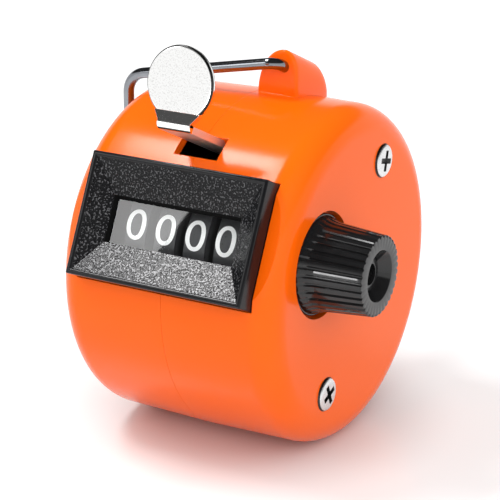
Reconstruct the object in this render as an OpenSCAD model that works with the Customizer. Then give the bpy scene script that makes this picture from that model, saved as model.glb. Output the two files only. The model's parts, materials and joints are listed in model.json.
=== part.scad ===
// Hand tally counter: a moulded drum case with a thumb lever, four number wheels
// behind a black bezel, a reset knob on the right and a wire finger loop.
// Millimetres. X runs along the drum axis towards the knob, the display faces -Y, Z is up.
// The origin is the middle of the flat that the drum stands on, under the parting plane.

/* [Drum case] */
// Outside diameter of the drum at the parting plane
drum_d = 46; // [44:0.5:50]
// Width of the left shell, from the parting plane to its end face
left_w = 16.6; // [15.5:0.1:20]
// Width of the right shell, from the parting plane to its end face
right_w = 15.9; // [15.5:0.1:20]
// Wall thickness of both shells
wall = 2; // [1.4:0.1:2.4]
// Rounding of the drum's end edges
edge_r = 3.8; // [1:0.1:4.4]
// Draft of the drum's outer wall, degrees
draft = 1.1; // [0:0.1:2]
// Width of the flat foot along the underside
foot_w = 8; // [4:0.5:12]
// Open seam between the two shells
seam = 0.1; // [0.05:0.05:0.3]
// Depth that the locating lip of the right shell reaches into the left shell
lip_len = 1.5; // [1:0.1:3]
// Thickness of the locating lip
lip_t = 1; // [0.6:0.1:1.4]

/* [Case screws] */
// Distance of the case screws above and below the drum axis, along the bezel
screw_t = 15.85; // [14:0.05:16.2]
// Forward shift of the lower case screw
screw_low_n = 1.4; // [0:0.1:3]
// Diameter of the screw shank
screw_d = 2.2; // [1.8:0.1:2.6]
// Diameter of the screw head
screw_head_d = 4.6; // [4:0.1:5.4]
// Height of the screw head
screw_head_h = 0.5; // [0.4:0.1:1]
// Wall of the screw tubes inside the shells
boss_wall = 0.95; // [0.7:0.05:1.2]
// Width of the shoulder that carries the frame plates
boss_shoulder = 0.8; // [0.5:0.1:1.2]

/* [Display] */
// Angle by which the display leans back
tilt = 26; // [15:1:35]
// Width of the bezel
bezel_w = 25.8; // [24.5:0.1:28]
// Height of the bezel
bezel_h = 16.2; // [15:0.1:17]
// Distance of the bezel's front edge from the drum axis
bezel_front = 24.3; // [24:0.1:26]
// Distance that the bezel stands out from the flat on the drum's front
bezel_stand = 2.65; // [2.4:0.05:2.8]
// Depth of the sloping funnel
funnel_depth = 2.3; // [1.5:0.1:2.8]
// Width of the bezel's front edge
rim_w = 0.65; // [0.4:0.05:1]
// Wall of the bezel box behind the funnel
bezel_wall = 1.6; // [1.2:0.1:1.8]
// Depth of the bezel box behind the funnel's front edge
bezel_depth = 6.3; // [6:0.1:7]
// Width of the window
window_w = 18.4; // [17.5:0.1:19]
// Height of the window
window_h = 6.2; // [5:0.1:7]
// Thickness of the funnel floor around the window
floor_t = 0.6; // [0.4:0.05:0.8]
// Thickness of the clear window
lens_t = 1; // [0.6:0.1:1.2]
// Overlap of the clear window behind the funnel floor
lens_lap = 1; // [0.6:0.1:1.4]
// Reach of the bezel's retaining ledges behind the case wall
ledge = 0.7; // [0.4:0.1:1]

/* [Number wheels] */
// Free air between the number wheels and the clear window
lens_gap = 0.5; // [0.3:0.05:0.8]
// Diameter of the number wheels
wheel_d = 18.4; // [17.6:0.1:18.6]
// Spacing of the wheels along the shaft
pitch = 4.45; // [4.35:0.05:4.6]
// Width of a wheel's number band
band = 3.1; // [2.8:0.05:3.2]
// Thickness of a wheel's rim
rim_t = 1.3; // [0.8:0.1:2]
// Thickness of a wheel's web
web_t = 0.9; // [0.6:0.1:1.4]
// Diameter of a wheel's hub
hub_d = 5; // [4.6:0.1:5.2]
// Tip radius of the ratchets
rat_tip = 4; // [3.8:0.05:4.3]
// Root radius of the ratchets
rat_root = 3.15; // [3:0.05:3.3]
// Root radius of the carrying notch of each ratchet
rat_deep = 2.65; // [2.6:0.05:3]
// Thickness of the ratchets
rat_w = 0.875; // [0.6:0.025:0.95]
// Diameter of the reset shaft
shaft_d = 3; // [2.4:0.1:3.2]
// Width of the reset groove along the shaft
groove_w = 0.8; // [0.5:0.1:1]
// Depth of the reset groove
groove_d = 0.5; // [0.3:0.1:0.7]

/* [Frame] */
// Distance of the frame plates' inner faces from the parting plane
plate_x = 9.6; // [9.5:0.1:10.4]
// Thickness of the frame plates
plate_t = 1; // [0.6:0.1:1.4]
// Radius of the frame plates
plate_r = 20.2; // [20.1:0.05:20.4]
// Rear edge of the frame plates behind the drum axis
plate_back = 12.5; // [11:0.5:14]
// Front edge of the frame plates in front of the drum axis
plate_front = 18; // [17.8:0.05:18.1]
// Diameter of the frame posts
post_d = 2.4; // [2:0.1:2.6]
// Diameter of the riveted necks of the posts
neck_d = 1.4; // [1:0.1:1.6]
// Diameter of the detent post
detent_post_d = 1.6; // [1.2:0.1:1.8]

/* [Thumb lever] */
// Distance of the lever pin behind the wheel axis
lev_back = 1.2; // [0.7:0.1:1.7]
// Distance of the lever pin above the number wheels
lev_rise = 1.5; // [1.4:0.05:1.6]
// Diameter of the lever pin
lev_pin_d = 1.6; // [1.2:0.1:1.7]
// Thickness of the lever's sheet
sheet = 0.9; // [0.7:0.05:1]
// Width of the lever's arm
arm_w = 4.8; // [4.4:0.1:5.2]
// Reach of the lever's arm in front of the drum axis
arm_reach = 26.6; // [26:0.1:28]
// Height of the arm's underside above the lever pin
arm_rise = 1.05; // [1:0.05:1.3]
// Lean of the thumb plate towards the front, from the arm's normal
plate_lean = 16; // [5:1:25]
// Diameter of the thumb plate
thumb_d = 9.6; // [8:0.1:10.4]
// Distance of the thumb plate's middle above the arm
thumb_rise = 6; // [5.8:0.1:7]
// Set back of the thumb plate behind its neck
thumb_step = 0.5; // [0.2:0.05:0.7]
// Width of the slot in the case for the lever
slot_w = 6.4; // [5.8:0.1:7]
// Room above the lever in its slot
slot_gap = 0.25; // [0.2:0.05:0.4]

/* [Feed pawl] */
// Distance of the pawl pin behind the wheel axis
paw_back = 9.7; // [9.3:0.1:10.1]
// Distance of the pawl pin below the number wheels
paw_drop = 1.3; // [1:0.1:1.6]
// Diameter of the pawl pin
paw_pin_d = 1.4; // [1:0.1:1.5]
// Radius of the pawl's round nose
nose_r = 0.36; // [0.3:0.02:0.4]
// Radius at which the nose runs in the ratchet
nose_at = 3.85; // [3.8:0.05:3.95]
// Thickness of the pawl's prongs
prong_t = 0.7; // [0.5:0.05:0.75]
// Width of the pawl's prongs
prong_w = 1; // [0.8:0.05:1.1]
// Step between neighbouring prongs, for the carry
prong_step = 0.6; // [0.55:0.05:0.7]
// Angle by which the pawl rests clear of the ratchets
park_a = 4.5; // [4:0.25:6]

/* [Springs] */
// Distance of the spring pin behind the wheel axis
hook_back = 14.6; // [14.3:0.1:14.9]
// Height of the spring pin above the drum axis
hook_t = 7.3; // [7:0.1:7.6]
// Diameter of the spring pin
hook_d = 1.2; // [0.8:0.1:1.4]
// Length of the return spring between its pins
spring_len = 9.5; // [9:0.1:11]
// Mean diameter of the return spring's coil
coil_d = 2; // [1.8:0.05:2.2]
// Diameter of the spring wire
coil_wire = 0.36; // [0.3:0.02:0.4]
// Number of coils
coils = 7; // [5:1:8]
// Distance of the detent post outside the number wheels
det_out = 1.48; // [1.4:0.02:1.6]
// Angle of the detent post above the middle of the display, seen from the shaft
det_a = 56.46; // [55:0.02:58]
// Thickness of the detent spring
det_t_mm = 0.3; // [0.2:0.05:0.4]

/* [Reset knob] */
// Distance of the knob's end face from the parting plane
knob_end = 24; // [22:0.1:27]
// Diameter of the knob's flange
knob_flange_d = 13.2; // [12.5:0.1:14]
// Thickness of the knob's flange
knob_flange_t = 0.9; // [0.6:0.1:1.2]
// Length of the flare between the flange and the grip
knob_flare = 1.5; // [1:0.1:2]
// Diameter of the knob at its flange
knob_root_d = 11.8; // [11:0.1:12.2]
// Diameter of the knob at its end
knob_tip_d = 10.4; // [9.5:0.1:11.5]
// Number of grip ribs
ribs = 34; // [20:1:40]
// Depth of the grooves between the ribs
rib_h = 0.3; // [0.2:0.05:0.5]
// Diameter of the dish in the knob's end
dish_d = 6.7; // [5:0.1:7.5]
// Diameter of the dish at its floor
dish_floor_d = 4.2; // [3.6:0.1:5]
// Depth of the dish
dish_depth = 1.3; // [0.8:0.1:2]
// Diameter of the shaft's seat in the knob
stub_d = 2.7; // [2:0.1:2.8]
// Depth of the recess that the knob's flange sits in
recess = 1.6; // [1.4:0.1:2]

/* [Finger loop] */
// Diameter of the wire
wire_d = 1.5; // [1.3:0.1:1.8]
// Distance of the wire lugs' middle from the parting plane
lug_x = 3.1; // [2.8:0.1:4]
// Width of the wire lugs
lug_w = 6; // [5:0.1:6.2]
// Front face of the upper lug behind the drum axis
lug_front = 1; // [0.5:0.1:2]
// Length of the upper lug
lug_len = 8.9; // [7:0.1:10]
// Top of the upper lug above the drum axis
lug_top = 29.15; // [28.8:0.05:30]
// Slope of the upper lug's top, degrees
lug_slope = 24; // [15:1:28]
// Shift of the upper lug's peak and of the wire to the right of the lugs' middle
lug_peak = 1.05; // [0.6:0.05:1.2]
// Rounding of the upper lug
lug_r = 2.4; // [1:0.1:2.6]
// Height of the wire in the upper lug above the drum axis
wire_top = 27.7; // [27.2:0.1:28]
// Drop of the wire between the lug and the left bend
wire_drop = 4.4; // [3.5:0.1:4.6]
// Distance of the wire in front of the upper lug
wire_ahead = 2; // [1.4:0.1:2.5]
// Distance of the wire outside the left end face
wire_out = 2.3; // [1.5:0.1:4]
// Clear depth of the finger loop behind the drum
finger_gap = 16; // [14:0.5:20]
// Length of the lower lug behind the drum
low_lug_len = 3; // [2:0.1:5]
// Radius of the wire's bends
wire_bend = 3; // [2:0.1:3.4]

/* [Clearances] */
// Clearance of fixed pieces in their seats
fit = 0.1; // [0.05:0.01:0.15]
// Radial running clearance of the shaft and pins
run = 0.05; // [0.02:0.01:0.08]
// Free air between moving pieces
air = 0.3; // [0.25:0.05:0.4]

/* [Hidden] */
$fn = 48;
drum_r = drum_d / 2;
axis_h = sqrt(drum_r * drum_r - foot_w * foot_w / 4);
in_r = drum_r - wall;
wheel_r = wheel_d / 2;
bezel_back = bezel_front - bezel_depth;
flat_n = bezel_front - bezel_stand;
floor_n = bezel_front - funnel_depth - floor_t;
wheel_n = floor_n - lens_t - lens_gap - wheel_r;
lev_n = wheel_n - lev_back;
lev_t = wheel_r + lev_rise;
arm_t = lev_t + arm_rise;
paw_n = wheel_n - paw_back;
paw_t = wheel_r + paw_drop;
hook_n = wheel_n - hook_back;
wheel_x = [-1.5 * pitch, -0.5 * pitch, 0.5 * pitch, 1.5 * pitch];
gap_x = [-pitch, 0, pitch, 2 * pitch];
rat_x0 = band / 2 + (pitch - band - rat_w) / 2;
hub_x0 = -band / 2 - 0.05;
hub_x1 = rat_x0 + rat_w;
plate_out = plate_x + plate_t;
// Feed stroke: the nose turns one tooth about the shaft while the lever turns about its pin
pin_gap = norm([wheel_n - lev_n, -lev_t]);
stroke = 2 * asin(nose_at * sin(18) / (pin_gap + nose_at));
mid_a = atan2(-lev_t, wheel_n - lev_n);
nose_a = mid_a + 18;
drop_a = nose_a - 8;
shaft_c = [wheel_n, 0];
paw_c = [paw_n, -paw_t];
lev_c = [lev_n, lev_t];
hook_c = [hook_n, hook_t];
stay_c = [hook_n - spring_len * sin(tilt), hook_t - spring_len * cos(tilt)];
det_c = shaft_c + (wheel_r + det_out) * [cos(det_a), sin(det_a)];
elbow = shaft_c + 5.3 * [cos(nose_a), sin(nose_a)];
arm_dir = (elbow - paw_c) / norm(elbow - paw_c);
park_dir = [cos(park_a) * arm_dir[0] + sin(park_a) * arm_dir[1],
            cos(park_a) * arm_dir[1] - sin(park_a) * arm_dir[0]];
lift_c = paw_c + 6 * park_dir
       + (prong_w / 2 + air + post_d / 2) * [park_dir[1], -park_dir[0]];
post_list = [stay_c, lift_c, [-9, 12], [-8.5, -13]];
screw_list = [[0, screw_t], [screw_low_n, -screw_t]];
tube_r = screw_d / 2 + 0.15 + boss_wall;
shoulder_r = tube_r + boss_shoulder;
slot_hi = arm_t + sheet + slot_gap;
slot_lo = arm_t - (drum_r * 0.89 - lev_n) * tan(stroke) - slot_gap;
notch_n = bezel_back - 2.8;
flange_x1 = right_w - 0.4;
flange_x0 = flange_x1 - knob_flange_t;
recess_x = right_w - recess;
ledge_x = bezel_w / 3;
ledge_t = bezel_h / 2 + ledge;
ledge_n = sqrt(pow(in_r - ledge_x * tan(draft), 2) - ledge_t * ledge_t) - fit;

echo(lever_stroke_deg = stroke, axis_height = axis_h, stay = stay_c, slot = [slot_lo, slot_hi]);

// Placing: the mechanism leans back with the display, about the drum axis
module leaned() {
    translate([0, 0, axis_h])
        rotate([-tilt, 0, 0])
            children();
}

// Moves to a point given as forward distance and height in the leaned frame
module at(c) {
    translate([0, -c[0], c[1]])
        children();
}

// Extrudes a side outline, drawn as depth and height, from x0 to x1
module across(x0, x1) {
    translate([x0, 0, 0])
        rotate([90, 0, 90])
            linear_extrude(x1 - x0)
                children();
}

// Round bar along X
module bar(x0, x1, d) {
    translate([x0, 0, 0])
        rotate([0, 90, 0])
            cylinder(h = x1 - x0, d = d);
}

// Block given by x, forward and height limits in the leaned frame
module block(x, n, t) {
    translate([x[0], -n[1], t[0]])
        cube([x[1] - x[0], n[1] - n[0], t[1] - t[0]]);
}

// Flat strip between two points of the leaned frame, as a side outline
module strip(p, q, w) {
    d = (q - p) / norm(q - p);
    s = [-d[1], d[0]] * w / 2;
    polygon([for (c = [p + s, q + s, q - s, p - s]) [-c[0], c[1]]]);
}

module dot(c, r) {
    translate([-c[0], c[1]])
        circle(r);
}

// Drum case
module half_outline(w) {
    end_r = drum_r - (w - edge_r) * tan(draft);
    polygon([[0, 0], [drum_r, 0], [end_r, w - edge_r], [0, w - edge_r]]);
    square([end_r - edge_r, w]);
    translate([end_r - edge_r, w - edge_r])
        circle(edge_r);
}

module half_inside(w) {
    inner_r = max(edge_r - wall, 0.4);
    end_r = drum_r - wall - (w - edge_r) * tan(draft);
    translate([0, -1])
        square([in_r, 2]);
    polygon([[0, 0], [in_r, 0], [end_r, w - wall - inner_r], [0, w - wall - inner_r]]);
    square([end_r - inner_r, w - wall]);
    translate([end_r - inner_r, w - wall - inner_r])
        circle(inner_r);
}

module half_drum(w) {
    rotate([0, 90, 0])
        difference() {
            rotate_extrude($fn = 96)
                intersection() {
                    half_outline(w);
                    square([drum_r + 1, w + 1]);
                }
            rotate_extrude($fn = 96)
                intersection() {
                    half_inside(w);
                    translate([0, -2])
                        square([drum_r + 1, w + 3]);
                }
        }
}

// Everything that is cut through the drum wall in the leaned frame
module wall_cuts() {
    block([-bezel_w / 2 - fit, bezel_w / 2 + fit], [13.5, drum_r + 4],
          [-bezel_h / 2 - fit, bezel_h / 2 + fit]);
    block([-slot_w / 2, slot_w / 2], [13.5, drum_r + 4], [slot_lo, slot_hi]);
    block([-left_w - 1, right_w + 1], [flat_n, drum_r + 4], [-bezel_h / 2, bezel_h / 2]);
}

module foot_cut() {
    translate([-50, -50, -20])
        cube([100, 100, 20]);
}

// Screw tube with the shoulder that a frame plate sits on, drawn towards +X
module screw_tube(w) {
    bar(plate_out + fit, w - wall + 0.3, 2 * shoulder_r);
    bar(seam / 2, plate_out + 1, 2 * tube_r);
}

module upper_lug() {
    intersection() {
        across(lug_x - lug_w / 2, lug_x + lug_w / 2)
            upper_lug_side();
        translate([lug_x + lug_peak, lug_front, lug_top])
            rotate([90 - lug_slope, 0, 0])
                translate([0, 0, -lug_len - 3])
                    linear_extrude(lug_len + 6)
                        upper_lug_arch();
    }
}

module upper_lug_side() {
    fall = lug_len * tan(lug_slope);
    translate([lug_front, in_r - 2])
        square([lug_len - lug_r, lug_top - in_r + 3]);
    translate([lug_front, in_r - 2])
        square([lug_len, lug_top - fall - in_r + 2 - lug_r * 0.4]);
    translate([lug_front + lug_len - lug_r, lug_top - fall - lug_r * 0.4])
        circle(lug_r);
}

// Section of the lug across its slope: a lopsided arch with its peak at the origin
module upper_lug_arch() {
    rise = (lug_top - drum_r) * cos(lug_slope);
    left = lug_w / 2 + lug_peak;
    right = lug_w / 2 - lug_peak;
    polygon(concat([[right, -2 * rise]],
                   [for (a = [0 : 10 : 90]) [right * cos(a), (sin(a) - 1) * rise / 2]],
                   [for (a = [100 : 10 : 180]) [left * cos(a), (sin(a) - 1) * rise]],
                   [[-left, -2 * rise]]));
}

module lower_lug() {
    translate([lug_x, drum_r + low_lug_len, 0])
        rotate([90, 0, 0])
            cylinder(h = low_lug_len + wall, d = lug_w);
}

module wire_holes() {
    translate([lug_x, drum_r + low_lug_len + 1, 0])
        rotate([90, 0, 0])
            cylinder(h = low_lug_len + wall, d = wire_d + 2 * run);
    translate([lug_x + lug_peak, wire_y, wire_top])
        rotate([-90 - lug_slope, 0, 0])
            cylinder(h = norm(wire_corner[0] - wire_corner[1]) + 0.3, d = wire_d + 2 * run);
}

module right_shell() {
    color([0.95, 0.36, 0.06])
        difference() {
            union() {
                translate([0, 0, axis_h])
                    difference() {
                        union() {
                            upper_lug();
                            lower_lug();
                        }
                        rotate([0, 90, 0])
                            cylinder(h = right_w, r = in_r - 0.5);
                    }
                translate([0, 0, axis_h])
                    half_drum(right_w);
                leaned()
                    right_inside();
            }
            translate([-50, -50, -50])
                cube([50 + seam / 2 - lip_len - seam, 100, 150]);
            translate([-50, -50, axis_h + in_r - fit])
                cube([50 + seam / 2, 100, 150]);
            foot_cut();
            leaned()
                right_cuts();
            translate([0, 0, axis_h])
                wire_holes();
        }
}

// Locating lip, screw tubes and the boss behind the knob
module right_inside() {
    difference() {
        bar(-lip_len, 3, 2 * (in_r - fit));
        bar(-lip_len - 1, 4, 2 * (in_r - lip_t));
    }
    difference() {
        bar(0.5, 3, 2 * (in_r + 0.3));
        bar(0, 4, 2 * (in_r - lip_t));
    }
    for (c = screw_list)
        at(c)
            screw_tube(right_w);
    at(shaft_c)
        bar(recess_x - 1.6, right_w - 0.5, knob_flange_d + 2 * 0.4 + 3);
}

module right_cuts() {
    wall_cuts();
    block([-ledge_x, ledge_x + fit], [13.5, ledge_n + fit / 2],
          [-ledge_t - fit, ledge_t + fit]);
    block([-ledge_x, seam / 2], [13.5, drum_r], [-ledge_t - fit, ledge_t + fit]);
    for (c = screw_list)
        at(c)
            bar(-1, right_w + 2, screw_d + 0.3);
    at(shaft_c) {
        bar(recess_x, right_w + 1, knob_flange_d + 0.8);
        bar(5, right_w, shaft_d + 2 * air);
    }
}

module left_shell() {
    color([0.95, 0.36, 0.06])
        difference() {
            union() {
                translate([0, 0, axis_h])
                    mirror([1, 0, 0])
                        half_drum(left_w);
                leaned()
                    for (c = screw_list)
                        at(c)
                            mirror([1, 0, 0])
                                screw_tube(left_w);
            }
            translate([-seam / 2, -50, -50])
                cube([50, 100, 150]);
            foot_cut();
            leaned() {
                wall_cuts();
                for (c = screw_list)
                    at(c)
                        bar(-8, 1, screw_d + 2 * run);
            }
        }
}

// Bezel: a box that slopes in to the window, with ledges behind the case wall
module funnel() {
    across(-bezel_w, bezel_w)
        polygon([for (c = [[bezel_front - funnel_depth - 0.01, window_h / 2],
                           [bezel_front + 0.01, bezel_h / 2 - rim_w],
                           [bezel_front + 2, bezel_h / 2 - rim_w],
                           [bezel_front + 2, -bezel_h / 2 + rim_w],
                           [bezel_front + 0.01, -bezel_h / 2 + rim_w],
                           [bezel_front - funnel_depth - 0.01, -window_h / 2]]) [-c[0], c[1]]]);
}

module funnel_plan() {
    translate([0, 0, -bezel_h])
        linear_extrude(2 * bezel_h)
            polygon([[-window_w / 2, funnel_depth - bezel_front + 0.01],
                     [-bezel_w / 2 + rim_w, -bezel_front - 0.01],
                     [-bezel_w / 2 + rim_w, -bezel_front - 2],
                     [bezel_w / 2 - rim_w, -bezel_front - 2],
                     [bezel_w / 2 - rim_w, -bezel_front - 0.01],
                     [window_w / 2, funnel_depth - bezel_front + 0.01]]);
}

module bezel() {
    color([0.06, 0.06, 0.065])
        leaned()
            difference() {
                union() {
                    block([-bezel_w / 2, bezel_w / 2], [bezel_back, bezel_front],
                          [-bezel_h / 2, bezel_h / 2]);
                    block([-ledge_x, ledge_x], [bezel_back, ledge_n], [-ledge_t, ledge_t]);
                }
                intersection() {
                    funnel();
                    funnel_plan();
                }
                block([-window_w / 2, window_w / 2], [bezel_back - 1, bezel_front],
                      [-window_h / 2, window_h / 2]);
                block([-window_w / 2 - lens_lap - fit, window_w / 2 + lens_lap + fit],
                      [bezel_back - 1, floor_n],
                      [-window_h / 2 - lens_lap - fit, window_h / 2 + lens_lap + fit]);
                block([-bezel_w / 2 + bezel_wall, bezel_w / 2 - bezel_wall],
                      [bezel_back - 1, floor_n - lens_t],
                      [-bezel_h / 2 + bezel_wall, bezel_h / 2 - bezel_wall]);
            }
}

module window_lens() {
    color([0.85, 0.9, 0.92, 0.35])
        leaned()
            block([-window_w / 2 - lens_lap, window_w / 2 + lens_lap],
                  [floor_n - lens_t, floor_n],
                  [-window_h / 2 - lens_lap, window_h / 2 + lens_lap]);
}

// Two pan head screws with cross slots
module case_screws() {
    color([0.75, 0.76, 0.77])
        leaned()
            for (c = screw_list)
                at(c)
                    difference() {
                        union() {
                            bar(-6, right_w + 0.1, screw_d);
                            translate([right_w, 0, 0])
                                rotate([0, 90, 0])
                                    cylinder(h = screw_head_h, d1 = screw_head_d,
                                             d2 = screw_head_d * 0.8);
                        }
                        for (a = [0, 90])
                            rotate([a + 20, 0, 0])
                                translate([right_w + screw_head_h * 0.3, -1.3, -0.3])
                                    cube([2, 2.6, 0.6]);
                    }
}

// Finger loop: wire from the upper lug over the left end and back to the lower lug
function turn(p, q, r, c, k) =
    let (u = (p - c) / norm(p - c), v = (q - c) / norm(q - c),
         h = acos(u * v) / 2, cut = r / tan(h),
         s = c + u * cut, e = c + v * cut,
         m = c + (u + v) / norm(u + v) * r / sin(h),
         x = (s - m) / r, y0 = (e - m) - x * ((e - m) * x), y = y0 / norm(y0))
    [for (i = [0 : k]) m + r * (cos(i * (180 - 2 * h) / k) * x + sin(i * (180 - 2 * h) / k) * y)];

wire_y = lug_front - wire_ahead;
wire_x = -left_w - wire_out;
loop_y = drum_r + finger_gap + wire_d / 2;
wire_in = wire_ahead + 0.6 * lug_len;
wire_corner = [[lug_x + lug_peak, wire_y + wire_in, wire_top - wire_in * tan(lug_slope)],
               [lug_x + lug_peak, wire_y, wire_top],
               [wire_x, wire_y, wire_top - wire_drop], [wire_x, wire_y, 0],
               [wire_x, loop_y, 0], [lug_x, loop_y, 0], [lug_x, drum_r - 0.5, 0]];
wire_path = concat([wire_corner[0]],
                   [for (i = [1 : 5]) each
                       turn(wire_corner[i - 1], wire_corner[i + 1],
                            i == 1 ? wire_d / 2 + 0.5 : wire_bend, wire_corner[i], 6)],
                   [wire_corner[6]]);

wire_sides = 14;
wire_n = len(wire_path);
wire_dir = [for (i = [0 : wire_n - 1])
    let (v = wire_path[min(i + 1, wire_n - 1)] - wire_path[max(i - 1, 0)]) v / norm(v)];
function side_of(u, d) = let (v = u - d * (u * d)) v / norm(v);
wire_side = [for (i = 0, u = [0, 0, 1]; i < wire_n; i = i + 1,
                  u = side_of(u, wire_dir[min(i, wire_n - 1)])) u];

// The wire is one unbroken tube along its bent path
module wire_tube() {
    ring = [for (i = [0 : wire_n - 1]) for (k = [0 : wire_sides - 1])
        let (a = 360 * k / wire_sides)
            wire_path[i] + wire_d / 2 * (cos(a) * wire_side[i]
                                         + sin(a) * cross(wire_dir[i], wire_side[i]))];
    side = [for (i = [0 : wire_n - 2]) for (k = [0 : wire_sides - 1]) each
        let (a = i * wire_sides + k, b = i * wire_sides + (k + 1) % wire_sides)
            [[a, b, a + wire_sides], [b, b + wire_sides, a + wire_sides]]];
    n = (wire_n - 1) * wire_sides;
    caps = [for (k = [1 : wire_sides - 2]) each [[0, k + 1, k], [n, n + k, n + k + 1]]];
    polyhedron(ring, [for (f = concat(side, caps)) [f[0], f[2], f[1]]]);
}

module finger_loop() {
    color([0.8, 0.81, 0.83])
        translate([0, 0, axis_h])
            wire_tube();
}

// Frame plates and posts
module plate_outline() {
    difference() {
        intersection() {
            circle(plate_r, $fn = 96);
            translate([-plate_front, -plate_r])
                square([plate_front + plate_back, 2 * plate_r]);
        }
        for (c = screw_list)
            dot(c, tube_r + fit);
        for (c = post_list)
            dot(c, neck_d / 2 + run);
        dot(det_c, neck_d / 2 + run);
        dot(shaft_c, shaft_d / 2 + run);
        dot(lev_c, lev_pin_d / 2);
        dot([-3, -5], 3.5);
        translate([-plate_front - 1, -bezel_h / 2 - 1])
            square([plate_front + 1 - notch_n, bezel_h - bezel_wall + 1]);
        translate([-plate_front - 1, -bezel_h / 2 - 1])
            square([plate_front + 1 - bezel_back + 0.5, bezel_h + 1 + fit + air]);
    }
}

module right_plate() {
    color([0.7, 0.71, 0.72])
        leaned()
            across(plate_x, plate_out)
                plate_outline();
}

module left_plate() {
    color([0.7, 0.71, 0.72])
        leaned()
            across(-plate_out, -plate_x)
                plate_outline();
}

module frame_posts() {
    color([0.72, 0.72, 0.7])
        leaned() {
            for (c = post_list)
                at(c) {
                    bar(-plate_x, plate_x, post_d);
                    bar(-plate_out - 0.3, plate_out + 0.3, neck_d);
                }
            at(det_c) {
                bar(-plate_x, plate_x, detent_post_d);
                bar(-plate_out - 0.3, plate_out + 0.3, neck_d);
            }
        }
}

module lever_pin() {
    color([0.7, 0.7, 0.68])
        leaned()
            at(lev_c)
                bar(-plate_out - 0.3, plate_out + 0.3, lev_pin_d);
}

// Detent: a sleeve on its post with one spring finger over each ratchet
module detent_comb() {
    sleeve_r = detent_post_d / 2 + run + det_t_mm;
    aim = shaft_c + (rat_tip + air) * [cos(62), sin(62)];
    color([0.78, 0.62, 0.36])
        leaned()
            difference() {
                union() {
                    at(det_c)
                        bar(gap_x[0] - prong_t / 2, gap_x[3] + prong_t / 2, 2 * sleeve_r);
                    for (x = gap_x)
                        across(x - prong_t / 2, x + prong_t / 2)
                            strip(det_c, aim, det_t_mm);
                }
                at(det_c)
                    bar(-plate_x, plate_x, detent_post_d + 2 * run);
            }
}

// Return spring: one unbroken tube from the stay post up to the spring pin
spring_lo = post_d / 2 + air;
spring_hi = spring_len - hook_d / 2 - air;
coil_steps = coils * 8;
coil_mid = [for (i = [0 : coil_steps])
    [coil_d / 2 * cos(i * 45), coil_d / 2 * sin(i * 45),
     spring_lo + coil_wire / 2 + (spring_hi - spring_lo - coil_wire) * i / coil_steps]];
coil_gap = min([for (i = [0 : coil_steps - 5]) for (j = [i + 5 : coil_steps])
    norm(coil_mid[i] - coil_mid[j])]) - coil_wire;
echo(spring_least_gap = coil_gap);

module coil_tube() {
    ring = [for (i = [0 : coil_steps]) for (k = [0 : 5])
        coil_mid[i] + coil_wire / 2 * (cos(k * 60) * [cos(i * 45), sin(i * 45), 0]
                                       + sin(k * 60) * [0, 0, 1])];
    side = [for (i = [0 : coil_steps - 1]) for (k = [0 : 5]) each
        let (a = i * 6 + k, b = i * 6 + (k + 1) % 6)
            [[a, a + 6, b], [b, a + 6, b + 6]]];
    n = coil_steps * 6;
    caps = [for (k = [1 : 4]) each [[0, k, k + 1], [n, n + k + 1, n + k]]];
    polyhedron(ring, concat(side, caps));
}

module return_spring() {
    color([0.75, 0.76, 0.78])
        translate([0, -stay_c[0] * cos(tilt) + stay_c[1] * sin(tilt),
                   axis_h + stay_c[0] * sin(tilt) + stay_c[1] * cos(tilt)])
            coil_tube();
}

// Thumb lever: one stamping with a thumb plate, an arm and two side cheeks
module cheek_outline() {
    difference() {
        union() {
            polygon([for (c = [[lev_n + 1.4, arm_t + 0.2], [lev_n - 1.4, arm_t + 0.2],
                               [hook_n + 0.9, hook_t + 1.5], [hook_n - 0.9, hook_t + 1],
                               [hook_n - 0.9, hook_t - 1], [-1.9, 4],
                               [paw_n - 1.5, -paw_t], [paw_n + 1.5, -paw_t],
                               [paw_n + 1.5, 2], [lev_n - 1.2, lev_t - 0.4],
                               [lev_n + 1.2, lev_t]]) [-c[0], c[1]]]);
            dot(lev_c, 1.25);
            dot(paw_c, 1.5);
        }
        dot(shaft_c, wheel_r + 0.5);
        dot(lev_c, lev_pin_d / 2 + run);
        dot(paw_c, paw_pin_d / 2);
        dot(hook_c, hook_d / 2);
    }
    difference() {
        dot(lev_c, 1.25);
        dot(lev_c, lev_pin_d / 2 + run);
    }
}

module thumb_plate() {
    neck_h = thumb_rise - thumb_d / 2 - 0.15;
    step_h = neck_h + 0.9;
    at([arm_reach, arm_t])
        rotate([plate_lean, 0, 0])
            translate([0, -sheet, 0]) {
                across(-arm_w / 2, arm_w / 2)
                    polygon([[0, 0], [0, neck_h], [thumb_step, step_h], [thumb_step, step_h + 0.5],
                             [thumb_step + sheet, step_h + 0.5], [thumb_step + sheet, step_h - 0.2],
                             [sheet, neck_h - 0.2], [sheet, 0]]);
                difference() {
                    translate([0, sheet + thumb_step, thumb_rise])
                        rotate([90, 0, 0])
                            cylinder(h = sheet, d = thumb_d, $fn = 96);
                    translate([-thumb_d, -1, -1])
                        cube([2 * thumb_d, sheet + thumb_step + 2, step_h + 1]);
                }
            }
}

module thumb_lever() {
    color([0.8, 0.81, 0.82])
        leaned() {
            block([-arm_w / 2, arm_w / 2], [lev_n - 1.4, arm_reach], [arm_t, arm_t + sheet]);
            intersection() {
                at([arm_reach, arm_t + sheet])
                    bar(-arm_w / 2, arm_w / 2, 2 * sheet);
                block([-arm_w / 2, arm_w / 2], [arm_reach - sheet, arm_reach + sheet],
                      [arm_t, arm_t + sheet]);
            }
            thumb_plate();
            for (s = [-1, 1])
                across(s > 0 ? arm_w / 2 - sheet : -arm_w / 2, s > 0 ? arm_w / 2 : sheet - arm_w / 2)
                    cheek_outline();
        }
}

module spring_pin() {
    color([0.7, 0.7, 0.68])
        leaned()
            at(hook_c)
                bar(-arm_w / 2 - 0.2, arm_w / 2 + 0.2, hook_d);
}

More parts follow.
